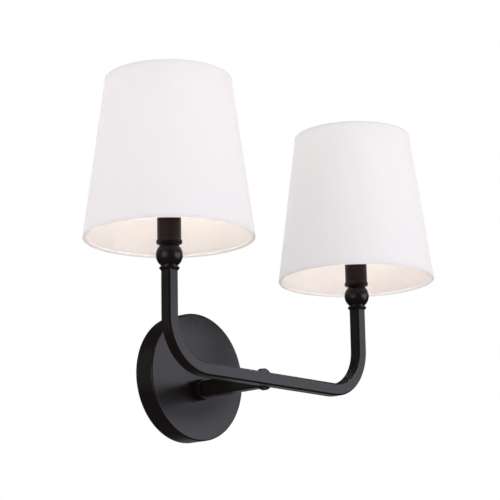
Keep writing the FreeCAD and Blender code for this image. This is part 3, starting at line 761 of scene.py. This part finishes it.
def folded_tape(name, radius, height, lean, at_top):
    """A strip of cloth folded over one edge of a drum, its ends lapped beside the cover's seam."""
    shade = bpy.context.scene.sconce_shade
    path, outward = tape_section(shade, radius, height, lean, at_top)
    lengths = [0.0]
    for first, second in zip(path, path[1:]):
        lengths.append(lengths[-1] + (second[0] - first[0]).length)
    seam_end = shade.seam_lap
    tape_seam = seam_end + TAPE_SEAM_OFFSET
    first_turn = (tape_seam - math.pi * radius) / radius
    whole = 2 * math.pi + shade.tape_lap / radius
    vertices = []
    cloth = []
    for step in range(TAPE_STEPS + 1):
        turn = first_turn + whole * step / TAPE_STEPS
        past = (turn - math.pi) * radius
        past_hump = eased(past, seam_end, seam_end + SEAM_RAMP)
        hump = eased(past, -SEAM_RAMP, 0.0) * (1 - past_hump) * shade.seam_rise
        lap = eased(past, tape_seam - SEAM_RAMP, tape_seam) * shade.tape_thickness * TAPE_LIFT
        for (place, away), length in zip(path, lengths):
            lift = hump * max(0.0, away.dot(outward)) + lap
            reach_here, level = place + away * lift
            vertices.append((math.sin(turn) * reach_here, -math.cos(turn) * reach_here, level))
            cloth.append((turn * radius, length))
    count = len(path)
    faces = []
    for step in range(TAPE_STEPS):
        for row in range(count - 1):
            here = step * count + row
            faces.append((here, here + count, here + count + 1, here + 1))
    mesh = bpy.data.meshes.new(name)
    mesh.from_pydata(vertices, [], faces)
    uv = mesh.uv_layers.new(name="cloth")
    for loop in mesh.loops:
        uv.data[loop.index].uv = cloth[loop.vertex_index]
    piece = new_object(name, mesh)
    mesh.shade_smooth()
    mesh.materials.append(FINISHES["shade_tape"])
    return thickened(piece, shade.tape_thickness)


def threaded_rows(radius, low, high, pitch):
    """Rows of (radius, height, thread) up a thread that runs out over one pitch at each end."""
    count = max(2, round((high - low) / pitch * ROWS_PER_PITCH))
    rows = []
    for step in range(count + 1):
        level = low + (high - low) * step / count
        run_out = eased(min(level - low, high - level), 0.0, pitch)
        rows.append((radius, level, run_out))
    return rows


def inner_rows(rows, wall):
    """The rows of a thread on the inside of a wall, from the top down."""
    return [(radius - wall, level, run_out) for radius, level, run_out in reversed(rows)]


def thread_tree(finish):
    """Roll a thread, or ribs, into a turned piece wherever its thread attribute is above zero."""
    graph = Graph("Screw thread", Turned_piece="Geometry", Pitch="Float", Depth="Float", Starts="Float")
    x, y, z = graph.position()
    weight = graph.add("GeometryNodeInputNamedAttribute", {"Name": "thread"}, data_type="FLOAT")
    rise = graph.times(graph.over(z, graph.inputs["Pitch"]), 2 * math.pi)
    turn = graph.times(graph.maths("ARCTAN2", y, x), graph.inputs["Starts"])
    wave = graph.maths("COSINE", graph.minus(rise, turn))
    cut = graph.times(graph.minus(0.5, graph.times(wave, 0.5)), graph.inputs["Depth"])
    cut = graph.times(cut, weight.outputs["Attribute"])
    radius = graph.maths("SQRT", graph.plus(graph.times(x, x), graph.times(y, y)))
    keep = graph.minus(1.0, graph.over(cut, graph.maths("MAXIMUM", radius, MERGE_REACH)))
    rolled = graph.joined(graph.times(x, keep), graph.times(y, keep), z)
    return graph.finish(graph.moved(graph.inputs["Turned piece"], rolled), finish)


def ridge_tree():
    """A moulded thread: a small ridge that climbs round a post."""
    graph = Graph("Thread ridge", Radius="Float", Ridge="Float", Climb="Float", Turns="Float")
    feeds = {
        "Resolution": RIDGE_STEPS,
        "Rotations": graph.inputs["Turns"],
        "Start Radius": graph.inputs["Radius"],
        "End Radius": graph.inputs["Radius"],
        "Height": graph.inputs["Climb"],
    }
    path = graph.add("GeometryNodeCurveSpiral", feeds).outputs[0]
    feeds = {"Resolution": RIDGE_SIDES, "Radius": graph.inputs["Ridge"]}
    section = graph.add("GeometryNodeCurvePrimitiveCircle", feeds).outputs[0]
    return graph.finish(graph.swept(path, section), FINISHES["black_moulding"])


def turned_mesh(name, outline, steps):
    """A solid turned about the Z axis from (radius, height, thread) points.

    The outline is a closed one, or runs from the axis to the axis.
    """
    solid = outline[0][0] == 0.0 and outline[-1][0] == 0.0
    vertices = []
    faces = []
    count = len(outline)
    for step in range(steps):
        turn = 2 * math.pi * step / steps
        for radius, level, _ in outline:
            vertices.append((radius * math.cos(turn), radius * math.sin(turn), level))
        here = step * count
        there = ((step + 1) % steps) * count
        for corner in range(count - 1 if solid else count):
            following = (corner + 1) % count
            faces.append((here + corner, there + corner, there + following, here + following))
    mesh = bpy.data.meshes.new(name)
    mesh.from_pydata(vertices, [], faces)
    thread = mesh.attributes.new("thread", "FLOAT", "POINT")
    thread.data.foreach_set("value", [weight for _, _, weight in outline] * steps)
    if solid:
        work = bmesh.new()
        work.from_mesh(mesh)
        bmesh.ops.remove_doubles(work, verts=work.verts, dist=MERGE_REACH)
        work.to_mesh(mesh)
        work.free()
    return mesh


def threaded_piece(name, node, body, slot, outline, thread, steps=THREAD_STEPS, starts=1):
    """A turned piece in the place of a CAD node, with a thread or ribs of one pitch and depth."""
    tree = thread_tree(FINISHES[slot])
    pitch, depth = thread
    values = {"Pitch": pitch, "Depth": depth, "Starts": starts}
    piece = bake_tree(name, tree, values, turned_mesh(name + "_turned", outline, steps))
    shaded_smooth(piece, THREAD_CREASE)
    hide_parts(node)
    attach(piece, body)
    return piece


def connector_outline(metal):
    """The outline of a wire connector, from the end of its hole round to its tip."""
    taper = metal.connector_taper
    mouth = metal.connector_mouth / 2
    tip = metal.connector_tip / 2
    bore = metal.connector_bore / 2
    skirt = metal.connector_skirt
    depth = metal.connector_depth
    outline = [(0.0, depth, 0.0), (bore, depth, 0.0), (bore, 0.0, 0.0), (mouth, 0.0, 0.0)]
    for step in range(CONNECTOR_ROWS + 1):
        level = skirt + (taper - skirt) * step / CONNECTOR_ROWS
        run_out = eased(min(level - skirt, taper - level), 0.0, skirt)
        outline.append((mouth + (tip - mouth) * level / taper, level, run_out))
    for step in range(1, TIP_ROWS + 1):
        turn = math.pi / 2 * step / TIP_ROWS
        radius = tip * math.cos(turn) if step < TIP_ROWS else 0.0
        level = taper + (metal.connector_length - taper) * math.sin(turn)
        outline.append((radius, level, 0.0))
    return outline


def connector_tips(node):
    """The corner of each connector's CAD solid that lies farthest from the middle."""
    far = reach(node) - MERGE_REACH
    tips = {}
    for vertex in NODES[node].data.vertices:
        x, y, z = vertex.co
        if abs(x) > far:
            tips[(x > 0.0, round(z / MM))] = (x, y, z)
    return tips


class SCONCE_OT_finishes(bpy.types.Operator):
    """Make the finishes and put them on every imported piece"""

    bl_idname = "sconce.finishes"
    bl_label = "Finishes"

    def execute(self, context):
        make_finishes()
        slots = {row["node"]: row["material_slot"] for row in frame["record"]["subparts"]}
        for node, piece in NODES.items():
            # The cups under the sleeves take the sleeves' reddish-brown enamel instead of the black
            # bronze paint: this brown stands in for the warm glow from inside the shades reflected on
            # them, a painted reflection
            finish = "sleeve_enamel" if node.endswith("_socket_cup") else slots[node]
            for place in piece.material_slots:
                place.material = FINISHES[finish]
        return {"FINISHED"}


class SCONCE_OT_arm(bpy.types.Operator):
    """Sweep the arm tube through its two bends"""

    bl_idname = "sconce.arm"
    bl_label = "Arm tube"

    def execute(self, context):
        metal = context.scene.sconce_metal
        half = metal.tube_width / 2
        left, y = upright_axis("left")
        right, _ = upright_axis("right")
        low = ARM_LOW[2] + half
        corners = [(left, y, ARM_HIGH[2]), (left, y, low), (right, y, low), (right, y, ARM_HIGH[2])]
        path = bpy.data.meshes.new("arm_path")
        path.from_pydata(corners, [(0, 1), (1, 2), (2, 3)], [])
        values = {
            "Width": metal.tube_width,
            "Corner": metal.tube_corner,
            "Edge": metal.tube_edge,
            "Bend": metal.tube_bend,
            "Bend steps": metal.bend_steps,
        }
        arm = bake_tree("arm", arm_tree(), values, path)
        shaded_smooth(arm, ARM_CREASE)
        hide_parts("arm_tube")
        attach(arm, "fixture")
        return {"FINISHED"}


class SCONCE_OT_canopy(bpy.types.Operator):
    """Smooth the shading of the canopy's rounded edge"""

    bl_idname = "sconce.canopy"
    bl_label = "Canopy"

    def execute(self, context):
        canopy = dish_copy("wall_canopy", "canopy", context.scene.sconce_metal.canopy_edge)
        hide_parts("canopy")
        canopy.data.materials.clear()
        canopy.data.materials.append(FINISHES["dark_bronze"])
        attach(canopy, "fixture")
        return {"FINISHED"}


class SCONCE_OT_covers(bpy.types.Operator):
    """Wrap the fabric covers and fold the tapes over their edges"""

    bl_idname = "sconce.covers"
    bl_label = "Shade covers and tapes"

    def execute(self, context):
        shade = context.scene.sconce_shade
        tree = drum_tree()
        bottom, top = shade.bottom_radius, shade.top_radius
        values = {
            "Bottom radius": bottom,
            "Top radius": top,
            "Height": shade.height,
            "Lap": shade.seam_lap,
            "Lap rise": shade.seam_rise,
            "Columns": COVER_COLUMNS,
            "Rows": COVER_ROWS,
        }
        lean = (bottom - top) / shade.height
        for side in SIDES:
            x, y = upright_axis(side)
            node = side + "_shade_cover"
            cover = bake_tree(side + "_cover", tree, values)
            foot, _ = levels(node)
            placed(cover, x, y, foot)
            thickened(cover, shade.cover_thickness)
            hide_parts(node)
            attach(cover, side + "_shade")

            low, high = levels(side + "_shade_tapes")
            outside = bottom + lean * foot + shade.tape_thickness
            tapes = [
                folded_tape(side + "_bottom_tape", outside - lean * low, low, lean, False),
                folded_tape(side + "_top_tape", outside - lean * high, high, lean, True),
            ]
            for tape in tapes:
                placed(tape, x, y, 0.0)
                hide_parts(side + "_shade_tapes")
                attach(tape, side + "_shade")
        return {"FINISHED"}


class SCONCE_OT_threads(bpy.types.Operator):
    """Roll the threads of bulbs, sockets, pipe and nipples, and rib the wire connectors"""

    bl_idname = "sconce.threads"
    bl_label = "Threaded pieces"

    def execute(self, context):
        metal = context.scene.sconce_metal
        for side in SIDES:
            x, y = upright_axis(side)
            for make in (self.bulb_cap, self.screw_shell, self.nipple):
                placed(make(side, metal), x, y, 0.0)
            self.holder_thread(side, x, y, metal)
        self.stem_pipe(metal)
        self.connectors(metal)
        return {"FINISHED"}

    def bulb_cap(self, side, metal):
        """The rolled brass cap, with a plain collar above its thread and a hole for the glass bead."""
        node = side + "_bulb_cap"
        radius = reach(node)
        base, top = levels(node)
        hole = reach(side + "_bulb_insulator")
        foot = radius - metal.cap_taper
        wall = metal.cap_wall
        rows = threaded_rows(radius, base + metal.cap_taper, top - metal.cap_collar, metal.bulb_pitch)
        outline = [(hole, base, 0.0), (foot, base, 0.0), *rows, (radius, top, 0.0)]
        outline += [(radius - wall, top, 0.0), *inner_rows(rows, wall)]
        outline += [(foot, base + wall, 0.0), (hole, base + wall, 0.0)]
        thread = (metal.bulb_pitch, metal.bulb_thread)
        return threaded_piece(side + "_cap", node, side + "_bulb", "brass_thread", outline, thread)

    def screw_shell(self, side, metal):
        """The brass shell whose thread matches the bulb cap's, a plain lip at each end."""
        node = side + "_screw_shell"
        radius = reach(node)
        base, top = levels(node)
        wall = metal.shell_wall
        rows = threaded_rows(radius, base + metal.cap_taper, top - metal.shell_lip, metal.bulb_pitch)
        outline = [(radius, base, 0.0), *rows, (radius, top, 0.0)]
        outline += [(radius - wall, top, 0.0), *inner_rows(rows, wall), (radius - wall, base, 0.0)]
        thread = (metal.bulb_pitch, metal.bulb_thread)
        return threaded_piece(side + "_shell", node, "fixture", "brass_thread", outline, thread)

    def nipple(self, side, metal):
        """The hollow nipple through ball and cup, threaded from end to end."""
        node = side + "_socket_nipple"
        base, top = levels(node)
        bore = metal.nipple_bore / 2
        outline = threaded_rows(reach(node), base, top, metal.pipe_pitch)
        outline += [(bore, top, 0.0), (bore, base, 0.0)]
        thread = (metal.pipe_pitch, metal.pipe_thread)
        name = side + "_nipple"
        return threaded_piece(name, node, "fixture", "plated_steel", outline, thread, PIPE_STEPS)

    def holder_thread(self, side, x, y, metal):
        """The coarse thread on a lamp holder that the shade ring screws on."""
        base = levels(side + "_shade_ring")[0] + metal.holder_ridge
        top = levels(side + "_lamp_holder")[1] - 2 * metal.holder_ridge
        values = {
            "Radius": metal.holder_radius,
            "Ridge": metal.holder_ridge,
            "Climb": top - base,
            "Turns": (top - base) / metal.holder_pitch,
        }
        ridge = bake_tree(side + "_holder_thread", ridge_tree(), values)
        shaded_smooth(ridge, RIDGE_CREASE)
        placed(ridge, x, y, base)
        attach(ridge, "fixture")

    def stem_pipe(self, metal):
        """The level pipe between canopy and arm, threaded near both ends."""
        low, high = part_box("stem_pipe")
        radius = (high[0] - low[0]) / 2
        length = high[1] - low[1]
        outline = threaded_rows(radius, 0.0, metal.pipe_thread_length, metal.pipe_pitch)
        outline += threaded_rows(radius, length - metal.pipe_thread_length, length, metal.pipe_pitch)
        outline += [(metal.pipe_bore / 2, length, 0.0), (metal.pipe_bore / 2, 0.0, 0.0)]
        thread = (metal.pipe_pitch, metal.pipe_thread)
        slot = "plated_steel"
        pipe = threaded_piece("pipe", "stem_pipe", "fixture", slot, outline, thread, PIPE_STEPS)
        pipe.data.transform(Matrix.Rotation(math.pi / 2, 4, "X"))
        placed(pipe, (low[0] + high[0]) / 2, high[1], (low[2] + high[2]) / 2)

    def connectors(self, metal):
        """The three ribbed wire connectors, each with its round tip away from the middle."""
        node = "wire_connectors"
        outline = connector_outline(metal)
        tips = connector_tips(node)
        ribs = metal.connector_ribs
        steps = ribs * RIB_STEPS
        thread = (RIB_PITCH, metal.connector_rib)
        for number, (x, y, z) in enumerate((tips[key] for key in sorted(tips)), 1):
            pole = math.copysign(1.0, x)
            name = f"connector_{number}"
            slot = "connector_shell"
            connector = threaded_piece(name, node, "fixture", slot, outline, thread, steps, ribs)
            connector.data.transform(Matrix.Rotation(pole * math.pi / 2, 4, "Y"))
            placed(connector, x - pole * metal.connector_length, y, z)


class SCONCE_OT_stage(bpy.types.Operator):
    """Set the camera, the floor and the lights"""

    bl_idname = "sconce.stage"
    bl_label = "Stage"

    def execute(self, context):
        scene = context.scene
        stage = scene.sconce_stage
        scene.camera = self.camera(stage)
        self.floor(stage)
        scene.world = self.world(stage)
        self.softboxes()
        self.glows(stage)
        scene.view_settings.view_transform = "Standard"
        scene.view_settings.look = "None"
        return {"FINISHED"}

    def camera(self, stage):
        """A camera at its place, turned by its yaw, pitch and roll."""
        lens = bpy.data.cameras.new("Camera")
        lens.lens = stage.lens
        lens.sensor_width = SENSOR_WIDTH
        lens.clip_start = NEAREST_SEEN
        camera = new_object("Camera", lens)
        turn = Euler((math.pi / 2 + stage.camera_pitch, 0.0, -stage.camera_yaw)).to_matrix()
        roll = Matrix.Rotation(stage.camera_roll, 3, "Z")
        camera.matrix_world = Matrix.Translation(stage.camera_place) @ (turn @ roll).to_4x4()
        return camera

    def floor(self, stage):
        """A wide pale floor that glossy surfaces don't mirror."""
        floor_mesh = bpy.data.meshes.new("floor")
        half = FLOOR_HALF
        corners = [(-half, -half), (half, -half), (half, half), (-half, half)]
        floor_mesh.from_pydata([(x, y, stage.floor_height) for x, y in corners], [], [(0, 1, 2, 3)])
        floor = new_object("floor", floor_mesh)
        recipe = Recipe("Pale floor")
        shader = recipe.surface(
            Base_Color=recipe.tones(recipe.noise(scale=3.0), WHITE, darkest=0.88, lightest=0.92),
            Roughness=0.8,
            Emission_Color=(*WHITE, 1.0),
            Emission_Strength=FLOOR_GLOW,
        )
        floor_mesh.materials.append(recipe.finish(shader))
        floor.visible_glossy = False

    def world(self, stage):
        """White as the camera sees it, and even light on cloth with little of it in glossy paint."""
        world = bpy.data.worlds.new("Studio")
        world.use_nodes = True
        nodes = Nodes(world.node_tree)
        nodes.tree.nodes.clear()
        rays = nodes.add("ShaderNodeLightPath").outputs
        change = stage.mirrored - stage.ambient
        feeds = {0: rays["Is Glossy Ray"], 1: change, 2: stage.ambient}
        level = nodes.add("ShaderNodeMath", feeds, operation="MULTIPLY_ADD").outputs[0]
        ambient = nodes.add("ShaderNodeBackground", {0: (*stage.ambient_colour, 1.0), 1: level})
        seen = nodes.add("ShaderNodeBackground", {0: (*WHITE, 1.0), 1: 1.0})
        feeds = {0: rays["Is Camera Ray"], 1: ambient.outputs[0], 2: seen.outputs[0]}
        mix = nodes.add("ShaderNodeMixShader", feeds).outputs[0]
        nodes.add("ShaderNodeOutputWorld", {0: mix})
        return world

    def softboxes(self):
        """The large soft lights, and those that only glossy surfaces mirror."""
        for name, place, width, height, power, colour, lights_cloth in SOFTBOXES:
            light = bpy.data.lights.new(name, "AREA")
            light.shape = "RECTANGLE"
            light.size = width
            light.size_y = height
            light.energy = power
            light.color = colour
            lamp = new_object(name, light)
            lamp.location = place
            lamp.rotation_euler = (TARGET - Vector(place)).to_track_quat("-Z", "Y").to_euler()
            lamp.visible_diffuse = lights_cloth
            lamp.visible_transmission = lights_cloth

    def glows(self, stage):
        """The weak glow of the lit bulb in each shade."""
        for side in SIDES:
            x, y = upright_axis(side)
            low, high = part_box(side + "_bulb_glass")
            glow = bpy.data.lights.new(side + " glow", "POINT")
            glow.energy = stage.lamp_power
            glow.color = stage.lamp_colour
            glow.shadow_soft_size = stage.glow_radius
            lamp = new_object(side + " glow", glow)
            lamp.location = (x, y, low[2] + (high[2] - low[2]) * stage.glow_height)


class SCONCE_PT_panel(bpy.types.Panel):
    """The sidebar panel that lists the sizes and the steps"""

    bl_idname = "SCONCE_PT_panel"
    bl_label = "Double arm wall sconce"
    bl_space_type = "VIEW_3D"
    bl_region_type = "UI"
    bl_category = "Sconce"

    def draw(self, context):
        layout = self.layout
        scene = context.scene
        for group in (scene.sconce_metal, scene.sconce_shade, scene.sconce_stage):
            box = layout.box()
            for key in group.__annotations__:
                box.prop(group, key)
        for operator in OPERATORS:
            layout.operator(operator.bl_idname)


GROUPS = {
    "sconce_metal": SconceMetal,
    "sconce_shade": SconceShade,
    "sconce_stage": SconceStage,
}
OPERATORS = (
    SCONCE_OT_finishes,
    SCONCE_OT_arm,
    SCONCE_OT_canopy,
    SCONCE_OT_covers,
    SCONCE_OT_threads,
    SCONCE_OT_stage,
)


def register():
    for name, group in GROUPS.items():
        bpy.utils.register_class(group)
        setattr(bpy.types.Scene, name, PointerProperty(type=group))
    for kind in OPERATORS + (SCONCE_PT_panel,):
        bpy.utils.register_class(kind)


def unregister():
    for kind in reversed(OPERATORS + (SCONCE_PT_panel,)):
        bpy.utils.unregister_class(kind)
    for name, group in GROUPS.items():
        delattr(bpy.types.Scene, name)
        bpy.utils.unregister_class(group)


def main():
    register()
    for kind in OPERATORS:
        family, step = kind.bl_idname.split(".")
        getattr(getattr(bpy.ops, family), step)()


if __name__ == "__main__":
    main()
